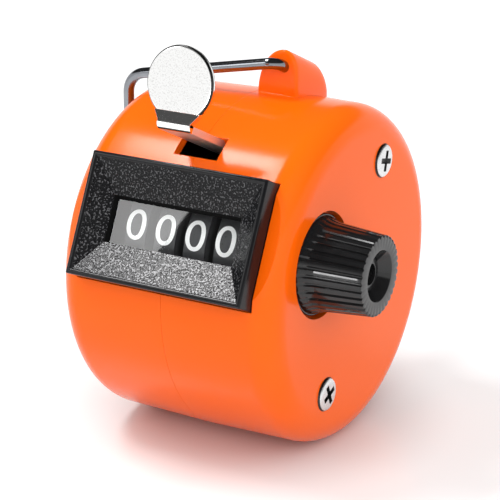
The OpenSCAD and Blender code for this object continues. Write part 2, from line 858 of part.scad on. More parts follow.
module pawl_pin() {
    color([0.7, 0.7, 0.68])
        leaned()
            at(paw_c)
                bar(-arm_w / 2 - 1.6, arm_w / 2 + 1.6, paw_pin_d);
}

// Feed pawl: a stamped comb with one hooked prong for each ratchet, parked clear of the teeth
module prong_outline(step) {
    ray = [cos(nose_a), sin(nose_a)];
    tip = shaft_c + (nose_at + step) * ray;
    dot(tip, nose_r);
    strip(tip, elbow, 2 * nose_r);
    dot(elbow, prong_w / 2);
    strip(elbow, paw_c + 2.2 * arm_dir, prong_w);
}

module pawl_lug(x0, x1) {
    across(x0, x1)
        difference() {
            union() {
                dot(paw_c, 1.4);
                strip(paw_c, paw_c + 2.6 * arm_dir, 1.6);
            }
            dot(paw_c, paw_pin_d / 2 + run);
        }
}

module feed_pawl() {
    color([0.66, 0.67, 0.68])
        leaned()
            at(paw_c)
                rotate([park_a, 0, 0])
                    at(-paw_c) {
                        for (i = [0 : 3])
                            across(gap_x[i] - prong_t / 2, gap_x[i] + prong_t / 2)
                                prong_outline((3 - i) * prong_step);
                        across(gap_x[0] - prong_t / 2, gap_x[3] + prong_t / 2)
                            strip(paw_c + 1.9 * arm_dir, paw_c + 4 * arm_dir, prong_w);
                        pawl_lug(-arm_w / 2 + sheet + air, arm_w / 2 - sheet - air);
                        pawl_lug(arm_w / 2 + air, arm_w / 2 + 1.2);
                        pawl_lug(-arm_w / 2 - 1.2, -arm_w / 2 - air);
                    }
}

// Reset shaft with its groove, knob, clip and washer
module reset_shaft() {
    color([0.74, 0.75, 0.76])
        leaned()
            at(shaft_c)
                difference() {
                    union() {
                        bar(-plate_out - 1.6, recess_x - 0.2, shaft_d);
                        bar(recess_x - 0.4, knob_end - dish_depth - 1.2, stub_d);
                    }
                    translate([-plate_x + 1, shaft_d / 2 - groove_d, -groove_w / 2])
                        cube([2 * plate_x - 2, groove_d + 1, groove_w]);
                    difference() {
                        bar(-plate_out - 0.8, -plate_out - 0.1, shaft_d + 1);
                        bar(-plate_out - 1, -plate_out, shaft_d - 0.6);
                    }
                }
}

module reset_knob() {
    len = knob_end - flange_x1;
    lean = atan2((knob_root_d - knob_tip_d) / 2, len);
    color([0.05, 0.05, 0.055])
        leaned()
            at(shaft_c)
                difference() {
                    union() {
                        bar(flange_x0, flange_x1, knob_flange_d);
                        translate([flange_x1 - 0.05, 0, 0])
                            rotate([0, 90, 0])
                                cylinder(h = len + 0.05, d1 = knob_root_d, d2 = knob_tip_d);
                        translate([flange_x1 - 0.05, 0, 0])
                            rotate([0, 90, 0])
                                cylinder(h = knob_flare, d1 = knob_flange_d - 0.4,
                                         d2 = knob_root_d - 2 * knob_flare * tan(lean));
                    }
                    for (i = [0 : ribs - 1])
                        rotate([i * 360 / ribs, 0, 0])
                            translate([flange_x1 + knob_flare * 0.8, 0, knob_root_d / 2
                                       - knob_flare * 0.8 * tan(lean)])
                                rotate([0, lean, 0])
                                    translate([0, -knob_tip_d * 0.022, -rib_h])
                                        cube([len + 2, knob_tip_d * 0.044, rib_h + 1]);
                    bar(flange_x0 - 1, knob_end, stub_d + 2 * 0.02);
                    translate([knob_end - dish_depth, 0, 0])
                        rotate([0, 90, 0])
                            cylinder(h = dish_depth + 0.01, d1 = dish_floor_d, d2 = dish_d);
                }
}

module shaft_clip() {
    color([0.35, 0.35, 0.36])
        leaned()
            at(shaft_c)
                difference() {
                    bar(-plate_out - 0.7, -plate_out - 0.2, shaft_d * 2);
                    bar(-plate_out - 1, -plate_out, shaft_d - 0.5);
                    translate([-plate_out - 1, -shaft_d * 0.3, 0])
                        cube([1, shaft_d * 0.6, shaft_d * 2]);
                }
}

module shaft_washer() {
    x1 = wheel_x[0] + hub_x0 - 0.15;
    color([0.75, 0.7, 0.5])
        leaned()
            at(shaft_c)
                difference() {
                    bar(-plate_x + 0.15, x1, hub_d + 1);
                    bar(-plate_x, x1 + 1, shaft_d + 2 * run);
                }
}

// Number wheels: rim, web, hub and a ten tooth ratchet with one deep carrying notch
module ratchet() {
    polygon([for (k = [0 : 9]) each
        let (a = drop_a + 36 * k, r = k == 7 ? rat_deep : rat_root)
            [[-r * cos(a), r * sin(a)], [-rat_tip * cos(a + 36), rat_tip * sin(a + 36)]]]);
}

module wheel(x) {
    color([0.1, 0.1, 0.11])
        leaned()
            at(shaft_c)
                translate([x, 0, 0])
                    difference() {
                        union() {
                            difference() {
                                bar(-band / 2, band / 2, wheel_d);
                                bar(-band, band, wheel_d - 2 * rim_t);
                            }
                            bar(-web_t / 2, web_t / 2, wheel_d - rim_t);
                            bar(hub_x0, hub_x1, hub_d);
                            across(rat_x0, hub_x1)
                                ratchet();
                        }
                        bar(-band, band + 2, shaft_d + 2 * run);
                    }
}

module units_wheel() {
    wheel(wheel_x[3]);
}

module tens_wheel() {
    wheel(wheel_x[2]);
}

module hundreds_wheel() {
    wheel(wheel_x[1]);
}

module thousands_wheel() {
    wheel(wheel_x[0]);
}

right_shell();
left_shell();
bezel();
window_lens();
case_screws();
finger_loop();
left_plate();
right_plate();
frame_posts();
lever_pin();
detent_comb();
return_spring();
thumb_lever();
spring_pin();
pawl_pin();
feed_pawl();
reset_shaft();
reset_knob();
shaft_clip();
shaft_washer();
units_wheel();
tens_wheel();
hundreds_wheel();
thousands_wheel();
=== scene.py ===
import json
from math import cos, pi, radians, sin, sqrt, tan

import bmesh
import bpy
from mathutils import Matrix, Vector


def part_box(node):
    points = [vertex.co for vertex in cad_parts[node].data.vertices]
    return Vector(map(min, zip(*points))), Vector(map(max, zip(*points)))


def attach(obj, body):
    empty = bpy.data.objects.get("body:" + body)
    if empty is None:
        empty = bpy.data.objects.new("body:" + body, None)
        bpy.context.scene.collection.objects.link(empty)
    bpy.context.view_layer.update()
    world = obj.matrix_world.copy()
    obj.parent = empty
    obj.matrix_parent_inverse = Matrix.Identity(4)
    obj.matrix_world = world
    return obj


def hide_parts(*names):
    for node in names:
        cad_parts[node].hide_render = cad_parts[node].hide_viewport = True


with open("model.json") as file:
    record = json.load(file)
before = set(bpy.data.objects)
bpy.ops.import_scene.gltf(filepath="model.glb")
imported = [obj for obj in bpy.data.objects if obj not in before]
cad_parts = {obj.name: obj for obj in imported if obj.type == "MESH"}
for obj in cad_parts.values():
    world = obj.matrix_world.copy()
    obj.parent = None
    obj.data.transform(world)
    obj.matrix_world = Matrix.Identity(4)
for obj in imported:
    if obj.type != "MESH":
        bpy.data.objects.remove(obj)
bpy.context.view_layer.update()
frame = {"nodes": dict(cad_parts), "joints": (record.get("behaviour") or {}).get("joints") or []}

# Frame and mechanism
# Two stamped steel plates on riveted posts carry the pins, the feed pawl, the bronze detent
# comb and the return spring. They sit inside the drum and show only through the lever's slot.
MM = 0.001


class Shade:
    """A socket in a material's node tree. Operators on it add Math nodes."""

    def __init__(self, tree, socket=None):
        self.tree = tree
        self.socket = socket

    def add(self, kind, inputs=None, out=0, stops=(), **settings):
        """Adds any node, makes its settings and stops, then fills or links its inputs."""
        node = self.tree.nodes.new(kind)
        for key, value in settings.items():
            setattr(node, key, value)
        for i, (place, level) in enumerate(stops):
            ramp = node.color_ramp.elements
            stop = ramp[i] if i < 2 else ramp.new(place)
            stop.position = place
            stop.color = (level, level, level, 1)
        for key, value in (inputs or {}).items():
            if isinstance(value, Shade):
                self.tree.links.new(value.socket, node.inputs[key])
            else:
                node.inputs[key].default_value = value
        return Shade(self.tree, node.outputs[out])

    def math(self, operation, *values):
        return self.add("ShaderNodeMath", dict(enumerate(values)), operation=operation)

    def __add__(self, other):
        return self.math("ADD", self, other)

    def __sub__(self, other):
        return self.math("SUBTRACT", self, other)

    def __rsub__(self, other):
        return self.math("SUBTRACT", other, self)

    def __mul__(self, other):
        return self.math("MULTIPLY", self, other)

    __radd__ = __add__
    __rmul__ = __mul__

    def blend(self, first, second):
        """A colour between two, by this factor."""
        return self.add("ShaderNodeMix", {0: self, 6: first, 7: second}, out=2, data_type="RGBA")

    def spread(self, low, high, kind="SMOOTHSTEP", first=0.0, last=1.0):
        """A value that goes from first to last as this one goes from low to high."""
        ends = {"From Min": low, "From Max": high, "To Min": first, "To Max": last}
        return self.add("ShaderNodeMapRange", {"Value": self, **ends}, interpolation_type=kind)

    def bump(self, strength, depth, **more):
        """A Bump node with this value as its height."""
        inputs = {"Strength": strength, "Distance": depth, "Height": self, **more}
        return self.add("ShaderNodeBump", inputs)


def new_finish(name):
    """A material, its Principled shader and an empty Shade on its node tree."""
    material = bpy.data.materials.new(name)
    material.use_nodes = True
    tree = material.node_tree
    return material, tree.nodes["Principled BSDF"], Shade(tree)


def feed(shader, **inputs):
    """Fills or links the shader's sockets, named with underscores for spaces."""
    for key, value in inputs.items():
        socket = shader.inputs[key.replace("_", " ")]
        if isinstance(value, Shade):
            value.tree.links.new(value.socket, socket)
        else:
            socket.default_value = value


def noise(shade, scale, detail=2.0, stretch=(1, 1, 1)):
    """Noise on the piece's own coordinates, with scale in features per metre."""
    place = shade.add("ShaderNodeTexCoord", out="Object")
    place = shade.add("ShaderNodeMapping", {"Vector": place, "Scale": stretch})
    return shade.add("ShaderNodeTexNoise", {"Vector": place, "Scale": scale, "Detail": detail})


def rolled_metal(name, colour, tarnish, roughness, stretch):
    """Sheet or drawn metal with fine lines along one direction and faint stains."""
    material, shader, shade = new_finish(name)
    lines = noise(shade, 900, 3, stretch)
    stains = noise(shade, 140)
    feed(shader, Metallic=1.0, Base_Color=stains.blend((*colour, 1), (*tarnish, 1)),
         Roughness=lines * 0.2 + roughness, Normal=lines.bump(0.15, 0.02 * MM))
    return material


def dress(node, finish):
    """Gives a CAD node that is kept as it is one finish all over."""
    for place in frame["nodes"][node].material_slots:
        place.material = finish


# The frame steel's dark grey is painted shade: it stands for the unlit inside of the drum, seen
# through the slot and window.
frame_steel = rolled_metal(
    "frame_steel", (0.16, 0.16, 0.15), (0.1, 0.1, 0.1), 0.3, (1, 1, 12))
turned_steel = rolled_metal(
    "turned_steel", (0.66, 0.66, 0.65), (0.55, 0.55, 0.55), 0.16, (0.1, 1, 1))
spring_wire = rolled_metal(
    "spring_wire", (0.58, 0.59, 0.6), (0.42, 0.42, 0.43), 0.2, (1, 1, 0.2))
spring_bronze = rolled_metal(
    "spring_bronze", (0.72, 0.5, 0.24), (0.6, 0.38, 0.17), 0.24, (1, 8, 8))
INNER_FINISH = {
    frame_steel: ("left_plate", "right_plate", "feed_pawl"),
    turned_steel: ("frame_posts", "lever_pin", "spring_pin", "pawl_pin", "reset_shaft"),
    spring_wire: ("return_spring", "shaft_clip"),
    spring_bronze: ("detent_comb", "shaft_washer"),
}
for finish, nodes in INNER_FINISH.items():
    for node in nodes:
        dress(node, finish)

# Number wheels
# Four dark plastic wheels turn on the reset shaft, each with a hub and a ratchet. Ten white
# digits are printed round each rim, and the next digit comes down from above.
LEAN = radians(26)
DISPLAY_TURN = Matrix.Rotation(-LEAN, 4, "X")
shaft_axis = Vector(next(j["pos_m"] for j in frame["joints"] if j["name"] == "reset_turn"))
WHEEL_R = (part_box("units_wheel")[1].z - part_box("units_wheel")[0].z) / 2
DIGIT_H = 4 * MM
DIGIT_W = 2.85 * MM
DIGIT_PITCH = radians(36)
DIGIT_CUTS = 12
CURVE_STEPS = 10
INK = 0.02 * MM
BAND_W = 3.1 * MM
BAND_SHIFT = 0.06 * MM

wheel_plastic, shader, shade = new_finish("wheel_plastic")
cloud = noise(shade, 220)
grain = noise(shade, 3500)
feed(shader, Base_Color=cloud.blend((0.04, 0.04, 0.042, 1), (0.055, 0.055, 0.058, 1)),
     Roughness=grain * 0.12 + 0.24, Normal=grain.bump(0.1, 0.02 * MM))

digit_ink, shader, shade = new_finish("digit_ink")
wear = noise(shade, 2600)
feed(shader, Base_Color=wear.blend((0.97, 0.97, 0.96, 1), (0.93, 0.93, 0.92, 1)),
     Roughness=wear * 0.2 + 0.4)


def flat_digit(character):
    """A digit as a flat mesh, facing up, from the built-in lettering."""
    letters = bpy.data.curves.new("digit", "FONT")
    letters.body = character
    letters.resolution_u = CURVE_STEPS
    holder = bpy.data.objects.new("digit", letters)
    bpy.context.scene.collection.objects.link(holder)
    seen = holder.evaluated_get(bpy.context.evaluated_depsgraph_get())
    mesh = bpy.data.meshes.new_from_object(seen)
    bpy.data.objects.remove(holder)
    return mesh


def reach(verts, axis):
    """Lowest and highest coordinate of some vertices along one axis."""
    values = [v.co[axis] for v in verts]
    return min(values), max(values)


def finished(bm, name, materials, body, node=None, sharp=40):
    """Turns a bmesh into a smooth-shaded piece on a body, in place of a node if one is named."""
    mesh = bpy.data.meshes.new(name)
    bm.to_mesh(mesh)
    bm.free()
    for material in materials:
        mesh.materials.append(material)
    mesh.polygons.foreach_set("use_smooth", [True] * len(mesh.polygons))
    mesh.set_sharp_from_angle(angle=radians(sharp))
    piece = bpy.data.objects.new(name, mesh)
    bpy.context.scene.collection.objects.link(piece)
    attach(piece, body)
    if node:
        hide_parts(node)
    return piece


zero_verts = flat_digit("0").vertices
zero_x, zero_y = reach(zero_verts, 0), reach(zero_verts, 1)
digit_scale = (DIGIT_W / (zero_x[1] - zero_x[0]), DIGIT_H / (zero_y[1] - zero_y[0]), 1)
ink_r = WHEEL_R + INK
for wheel in ("units_wheel", "tens_wheel", "hundreds_wheel", "thousands_wheel"):
    dress(wheel, wheel_plastic)
    band_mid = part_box(wheel)[0].x - BAND_SHIFT + BAND_W / 2
    ring = bmesh.new()
    for count in range(10):
        before = set(ring.verts)
        ring.from_mesh(flat_digit(str(count)))
        verts = [v for v in ring.verts if v not in before]
        low, high = reach(verts, 0)
        middle = Vector(((low + high) / 2, sum(zero_y) / 2, 0))
        bmesh.ops.translate(ring, vec=-middle, verts=verts)
        bmesh.ops.scale(ring, vec=digit_scale, verts=verts)
        for step in range(-DIGIT_CUTS // 2, DIGIT_CUTS // 2 + 1):
            inside = [v for v in ring.verts if v not in before]
            faces = {f for v in inside for f in v.link_faces}
            edges = {e for v in inside for e in v.link_edges}
            bmesh.ops.bisect_plane(ring, geom=inside + list(edges) + list(faces),
                                   plane_co=(0, step * DIGIT_H / DIGIT_CUTS, 0),
                                   plane_no=(0, 1, 0))
        for v in ring.verts:
            if v not in before:
                angle = v.co.y / WHEEL_R + DIGIT_PITCH * count
                v.co = (band_mid + v.co.x, -ink_r * cos(angle), ink_r * sin(angle))
    ring.transform(Matrix.Translation(shaft_axis) @ DISPLAY_TURN)
    finished(ring, wheel.replace("wheel", "digits"), [digit_ink], wheel)

# Thumb lever
# One nickel-plated steel stamping: a round thumb plate, a neck that steps forward below it,
# an arm through the case slot, and two cheeks that hang on the lever pin behind the wheels.
DRUM_R = 23 * MM
AXIS_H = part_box("left_shell")[1].z - DRUM_R
DISPLAY = Matrix.Translation((0, 0, AXIS_H)) @ DISPLAY_TURN
TOUCH = 0.01 * MM
MERGE = 0.001 * MM
SHEET = 0.9 * MM
SHEET_EDGE = 0.1 * MM
EDGE_TURN = radians(60)
ARM_W = 4.8 * MM
ARM_T = 11.75 * MM
ARM_BACK = 8.1 * MM
ARM_BEND, NECK_BEND = 0.7 * MM, 0.3 * MM
DULL_FROM = 1 * MM
THUMB_R = 4.8 * MM
THUMB_ROUND = 0.32 * MM
RIM_TILT = (0.12, 0.97)
PLATE_LEAN = radians(16)
PLATE_BASE = Vector((0, -26.6 * MM, ARM_T))
THUMB_RISE = 6 * MM
STEP_BACK = 0.65 * MM
NECK_TOP = 1.05 * MM
STEP_TOP = 2.5 * MM
CHEEK = ((10.9, 11.95), (8.1, 11.95), (-3, 8.8), (-4.8, 8.3), (-4.8, 6.3), (-1.9, 4),
         (-0.5, -10.5), (0.2, -11.8), (1.8, -11.8), (2.5, -10.5), (1.4, -3), (1.1, 2),
         (4.2, 7.3), (8.2, 9.7), (10.7, 10.1))

nickel, shader, shade = new_finish("nickel_plate")
speckle = noise(shade, 5200, 2)
haze = noise(shade, 260)
pits = shade.add("ShaderNodeValToRGB", {"Fac": speckle}, stops=((0.34, 0), (0.5, 1)))
tone = haze.blend((0.97, 0.97, 0.96, 1), (0.94, 0.94, 0.93, 1))
feed(shader, Metallic=1.0, Base_Color=pits.blend((0.82, 0.82, 0.81, 1), tone),
     Roughness=haze * 0.06 + 0.09, Normal=pits.bump(0.1, 0.01 * MM))
dull_nickel = rolled_metal("dull_nickel", (0.85, 0.85, 0.84), (0.7, 0.7, 0.69), 0.4, (1, 1, 1))
# A near-black finish for the thumb plate's rounded rim: a painted dark reflection that outlines
# the plate.
rim_painted_reflection = rolled_metal("rim_painted_reflection", (0.07, 0.07, 0.07), (0.04, 0.04, 0.04), 0.2, (1, 1, 1))


def verts_of(made):
    """The vertices in what an operator made."""
    return [g for g in made if isinstance(g, bmesh.types.BMVert)]


def edges_of(made):
    """The edges in what an operator made."""
    return [g for g in made if isinstance(g, bmesh.types.BMEdge)]


def drawn(bm, points, closed=False):
    """Draws straight edges through some points and returns the vertices and the edges."""
    verts = [bm.verts.new(p) for p in points]
    nexts = verts[1:] + verts[:1] if closed else verts[1:]
    return verts, [bm.edges.new(pair) for pair in zip(verts, nexts)]


def rounded(bm, geom, radius, segments, affect="VERTICES"):
    """Rounds the corners of an outline or the edges of a solid."""
    bmesh.ops.bevel(bm, geom=geom, offset=radius, offset_type="OFFSET", affect=affect,
                    segments=segments, profile=0.5, material=-1,
                    clamp_overlap=affect == "EDGES")


def pulled(bm, edges, way):
    """Extrudes edges along a vector and returns what that made."""
    made = bmesh.ops.extrude_edge_only(bm, edges=edges)["geom"]
    bmesh.ops.translate(bm, vec=way, verts=verts_of(made))
    return made


def cut_off(bm, place, outward):
    """Cuts off what lies beyond a plane and returns the cut's vertices and edges."""
    return bmesh.ops.bisect_plane(bm, geom=bm.verts[:] + bm.edges[:] + bm.faces[:],
                                  plane_co=place, plane_no=outward, clear_outer=True)["geom_cut"]


def turned(outline, steps, segments=8):
    """Spins (along X, radius, rounding) points into a wall of revolution about X."""
    bm = bmesh.new()
    verts, _ = drawn(bm, [(x, 0, r) for x, r, _ in outline])
    for v, (_, _, rounding) in zip(verts, outline):
        if rounding:
            rounded(bm, [v], rounding, segments)
    bmesh.ops.spin(bm, geom=bm.verts[:] + bm.edges[:], axis=(1, 0, 0), cent=(0, 0, 0),
                   angle=2 * pi, steps=steps, use_merge=True)
    bmesh.ops.remove_doubles(bm, verts=bm.verts, dist=MERGE)
    bmesh.ops.recalc_face_normals(bm, faces=bm.faces)
    return bm


def add_to(whole, part):
    """Moves a bmesh into another one."""
    mesh = bpy.data.meshes.new("part")
    part.to_mesh(mesh)
    part.free()
    whole.from_mesh(mesh)
    bpy.data.meshes.remove(mesh)


lean_turn = Matrix.Translation(PLATE_BASE) @ Matrix.Rotation(PLATE_LEAN, 4, "X")
neck_foot = lean_turn @ Vector((0, -SHEET, 0))
neck_top = lean_turn @ Vector((0, -SHEET, NECK_TOP))
step_top = lean_turn @ Vector((0, STEP_BACK - SHEET, STEP_TOP))
neck_way = (neck_top - neck_foot).normalized()
bend = neck_foot + neck_way * ((ARM_T - neck_foot.z) / neck_way.z)
lever = bmesh.new()
profile, _ = drawn(lever, ((0, -ARM_BACK, ARM_T), bend, neck_top, step_top))
for corner, rounding in ((profile[1], ARM_BEND), (profile[2], NECK_BEND)):
    rounded(lever, [corner], rounding, 6)
bmesh.ops.translate(lever, vec=(-ARM_W / 2, 0, 0), verts=lever.verts)
pulled(lever, lever.edges[:], (ARM_W, 0, 0))
chord = sqrt(THUMB_R ** 2 - (THUMB_RISE - STEP_TOP) ** 2)
for v in lever.verts:
    if (v.co - step_top).yz.length < TOUCH:
        v.co.x = chord if v.co.x > 0 else -chord
bmesh.ops.recalc_face_normals(lever, faces=lever.faces)
arm_face = max(lever.faces, key=lambda f: abs(f.normal.z))
if arm_face.normal.z > 0:
    bmesh.ops.reverse_faces(lever, faces=lever.faces)
bmesh.ops.solidify(lever, geom=lever.faces[:], thickness=SHEET)
rim = [e for e in lever.edges if len(e.link_faces) == 2 and e.calc_face_angle() > EDGE_TURN]
rounded(lever, rim, SHEET_EDGE, 2, "EDGES")
for f in lever.faces:
    f.material_index = 2 if f.calc_center_median().y > bend.y + DULL_FROM else 0
plate = turned([(0, 0, 0), (0, THUMB_R, THUMB_ROUND), (-SHEET, THUMB_R, THUMB_ROUND),
                (-SHEET, 0, 0)], 128, 5)
# The rim's rounding faces take index 1, the painted dark reflection.
for f in plate.faces:
    f.material_index = int(RIM_TILT[0] < abs(f.normal.x) < RIM_TILT[1])
plate.transform(lean_turn @ Matrix.Translation((0, STEP_BACK - SHEET, THUMB_RISE))
                @ Matrix.Rotation(-pi / 2, 4, "Z"))
cut = cut_off(plate, step_top, -neck_way)
bmesh.ops.contextual_create(plate, geom=edges_of(cut))
add_to(lever, plate)
for side in (-1, 1):
    verts = [lever.verts.new((side * (ARM_W / 2 - SHEET), -n * MM, t * MM)) for n, t in CHEEK]
    face = lever.faces.new(verts)
    cheek = bmesh.ops.extrude_face_region(lever, geom=[face], use_keep_orig=True)["geom"]
    bmesh.ops.translate(lever, vec=(side * SHEET, 0, 0), verts=verts_of(cheek))
bmesh.ops.recalc_face_normals(lever, faces=lever.faces)
lever.transform(DISPLAY)
stamping = finished(lever, "lever_stamping", [nickel, rim_painted_reflection, dull_nickel], "lever",
                    "thumb_lever", sharp=3)

# Drum case
# Two glossy orange ABS mouldings meet at a parting line round the middle. The right one carries
# the wire's lugs and the knob's recess, and both are cut in front for the bezel and the lever.
EDGE_R = 3.8 * MM
DRAFT = radians(1.1)
WALL = 1.2 * MM
SEAM = 0.02 * MM
SEAM_EDGE = 0.03 * MM
LIP = 0.3 * MM
SLOT_W = 6.4 * MM
SLOT_T = (9.7 * MM, 12.9 * MM)
BEZEL_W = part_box("bezel")[1].x * 2
BEZEL_H = 16.2 * MM
FIT = 0.1 * MM
LEFT_W = -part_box("left_shell")[0].x
RIGHT_W = 15.9 * MM
RECESS_R = 7 * MM
RECESS = 1.6 * MM
SHAFT_N = 10.7 * MM
FLAT_N = 21.65 * MM
FRONT_FROM = 10 * MM
FORWARD = DISPLAY_TURN.to_3x3() @ Vector((0, -1, 0))
UPWARD = DISPLAY_TURN.to_3x3() @ Vector((0, 0, 1))
LUG_X = 3.1 * MM
LUG_W = 6 * MM
LUG_FRONT, LUG_LEN, LUG_TOP, LUG_FOOT = 1 * MM, 8.9 * MM, 29.15 * MM, 19.6 * MM
LUG_PEAK = LUG_X + 1.05 * MM
LUG_SLOPE = radians(24)
LUG_ROUND = ((0, 0.5 * MM, 0.5 * MM), (LUG_LEN, 1.9 * MM, 0.3 * MM))
ARCH_STEPS, ROUND_STEPS = 30, 8
LOW_LUG_FROM, LOW_LUG_END, LOW_LUG_ROUND = DRUM_R - 1 * MM, 26 * MM, 0.5 * MM

orange_abs, shader, shade = new_finish("orange_abs")
flow = noise(shade, 45)
peel = noise(shade, 700, 1)
dust = noise(shade, 1800, 3)
corner = shade.add("ShaderNodeBevel", {"Radius": 0.12 * MM}, samples=6)
feed(shader, Base_Color=flow.blend((0.96, 0.126, 0.002, 1), (0.94, 0.12, 0.002, 1)),
     Roughness=dust * 0.08 + 0.13, Specular_IOR_Level=0.19,
     Normal=peel.bump(0.04, 0.04 * MM, Normal=corner))
# The inner faces' dark orange is painted shade for the unlit inside of the drum, with a random
# mottle.
orange_inside_painted_shade, shader, shade = new_finish("orange_inside_painted_shade")
inside_shade_mottle = noise(shade, 300)
feed(shader, Base_Color=inside_shade_mottle.blend((0.1, 0.012, 0.001, 1), (0.06, 0.008, 0.001, 1)),
     Roughness=0.6)


def near(first, second):
    """Whether two coordinates are the same place."""
    return abs(first - second) < TOUCH


def end_loop(bm, x):
    """The open edges of a turned wall that lie at one place along X."""
    return [e for e in bm.edges if e.is_boundary and all(near(v.co.x, x) for v in e.verts)]


def flatten(bm, place, outward):
    """Cuts the wall off beyond a plane and closes the cut with a flat."""
    cut = cut_off(bm, place, outward)
    edges = edges_of(cut)
    ends = [v for v in verts_of(cut) if sum(e in edges for e in v.link_edges) == 1]
    edges.append(bm.edges.new(ends))
    bmesh.ops.contextual_create(bm, geom=edges)


def cut_front(bm, half_w, low, high):
    """Cuts a rectangle, seen along the display's normal, through the drum's front wall."""

    def front_faces(margin):
        found = []
        for f in bm.faces:
            middle = f.calc_center_median()
            if (middle.dot(FORWARD) > FRONT_FROM and middle.x < half_w + margin
                    and low - margin < middle.dot(UPWARD) < high + margin):
                found.append(f)
        return found

    sides = ((Vector((half_w, 0, 0)), (1, 0, 0)), (UPWARD * low, UPWARD), (UPWARD * high, UPWARD))
    for place, normal in sides:
        faces = front_faces(MM)
        edges = {e for f in faces for e in f.edges}
        verts = {v for f in faces for v in f.verts}
        bmesh.ops.bisect_plane(bm, geom=faces + list(edges) + list(verts), plane_co=place,
                               plane_no=normal)
    bmesh.ops.delete(bm, geom=front_faces(0), context="FACES")


def drum_half(width, recess):
    """One half of the drum, drawn from the parting plane towards +X about the drum axis."""
    end_r = DRUM_R - width * tan(DRAFT)
    flat_r = end_r - EDGE_R - LIP
    wall = [(SEAM / 2, DRUM_R - LIP, 0), (SEAM / 2, DRUM_R, SEAM_EDGE)]
    wall += [(width * f, DRUM_R - width * f * tan(DRAFT), 0) for f in (0.2, 0.4, 0.6)]
    wall += [(width, end_r, EDGE_R), (width, flat_r, 0)]
    bm = turned(wall, 256, 16)
    rim = end_loop(bm, width)
    if recess:
        shaft = DISPLAY_TURN @ Vector((width, -SHAFT_N, 0))
        turn = Matrix.Translation(shaft) @ Matrix.Rotation(pi / 2, 4, "Y")
        mouth = bmesh.ops.create_circle(bm, radius=RECESS_R, segments=128, matrix=turn)["verts"]
        edges = list({e for v in mouth for e in v.link_edges})
        bmesh.ops.triangle_fill(bm, edges=rim + edges, use_beauty=True)
        sunk = pulled(bm, edges, (-RECESS, 0, 0))
        bmesh.ops.contextual_create(bm, geom=edges_of(sunk))
    else:
        bmesh.ops.contextual_create(bm, geom=rim)
    flatten(bm, FORWARD * FLAT_N, FORWARD)
    cut_front(bm, BEZEL_W / 2 + FIT, -BEZEL_H / 2 - FIT, BEZEL_H / 2 + FIT)
    cut_front(bm, SLOT_W / 2, *SLOT_T)
    flatten(bm, (0, 0, -AXIS_H), (0, 0, -1))
    bmesh.ops.recalc_face_normals(bm, faces=bm.faces)
    outside = set(bm.verts)
    bmesh.ops.solidify(bm, geom=bm.faces[:], thickness=WALL)
    # Faces with no vertex on the outer wall are inner faces and take the painted shade.
    for f in bm.faces:
        f.material_index = int(not any(v in outside for v in f.verts))
    return bm


def lug_section(bm, depth, lower, inset):
    """An upright section of the upper lug, a lopsided arch, as a loop of edges."""
    rise = LUG_TOP - DRUM_R - lower
    peak = LUG_TOP - lower - depth * tan(LUG_SLOPE)
    spans = (LUG_X + LUG_W / 2 - LUG_PEAK - inset, LUG_PEAK - LUG_X + LUG_W / 2 - inset)
    points = [(LUG_PEAK + spans[0], LUG_FOOT)]
    for step in range(ARCH_STEPS + 1):
        turn = pi * step / ARCH_STEPS
        span, drop = (spans[0], rise / 2) if turn < pi / 2 else (spans[1], rise)
        points.append((LUG_PEAK + span * cos(turn), peak - drop * (1 - sin(turn))))
    points.append((LUG_PEAK - spans[1], LUG_FOOT))
    return drawn(bm, [(x, LUG_FRONT + depth, z) for x, z in points], closed=True)[1]


left = drum_half(LEFT_W, False)
bmesh.ops.scale(left, vec=(-1, 1, 1), verts=left.verts)
bmesh.ops.reverse_faces(left, faces=left.faces)
bmesh.ops.translate(left, vec=(0, 0, AXIS_H), verts=left.verts)
left_half = finished(left, "left_drum_half", [orange_abs, orange_inside_painted_shade], "case", "left_shell",
                     sharp=14)

right = drum_half(RIGHT_W, True)
rings = []
for place, top_round, side_round in LUG_ROUND:
    for step in range(ROUND_STEPS + 1):
        turn = pi / 2 * (step / ROUND_STEPS if place else 1 - step / ROUND_STEPS)
        inward = top_round * (1 - sin(turn))
        rings.append(lug_section(right, place - inward if place else inward,
                                 top_round * (1 - cos(turn)), side_round * (1 - cos(turn))))
for loop, following in zip(rings, rings[1:]):
    bmesh.ops.bridge_loops(right, edges=loop + following)
for cap in (rings[0], rings[-1]):
    bmesh.ops.contextual_create(right, geom=cap)
low_lug = turned([(LOW_LUG_FROM, 0, 0), (LOW_LUG_FROM, LUG_W / 2, 0),
                  (LOW_LUG_END, LUG_W / 2, LOW_LUG_ROUND), (LOW_LUG_END, 0, 0)], 64)
low_lug.transform(Matrix.Translation((LUG_X, 0, 0)) @ Matrix.Rotation(pi / 2, 4, "Z"))
add_to(right, low_lug)
bmesh.ops.translate(right, vec=(0, 0, AXIS_H), verts=right.verts)
right_half = finished(right, "right_drum_half", [orange_abs, orange_inside_painted_shade], "case",
                      "right_shell", sharp=14)

# Bezel and window
# A black ABS box clips into the front of both halves. Its grained funnel slopes in from a smooth
# rim to the window's dull black edge, and a flat clear acrylic pane sits behind the opening.
BEZEL_FRONT = 24.3 * MM
RIM_W = 0.65 * MM
RIM_CHAMFER = 0.2 * MM
RIM_ROUND = 0.22 * MM
WINDOW_W, WINDOW_H = 18.4 * MM, 6.2 * MM
FUNNEL = 2.3 * MM
FLOOR_T = 0.6 * MM
TOP_LIP = 0.45 * MM
LEFT_LIP = 0.45 * MM
LENS_T = 1 * MM
LENS_LAP = 1 * MM
BEZEL_BACK = 18 * MM
BEZEL_WALL = 1.6 * MM

bezel_smooth, shader, shade = new_finish("bezel_smooth")
sheen = noise(shade, 1500)
feed(shader, Base_Color=sheen.blend((0.005, 0.005, 0.006, 1), (0.008, 0.008, 0.009, 1)),
     Roughness=sheen * 0.1 + 0.14, Specular_IOR_Level=0.3)

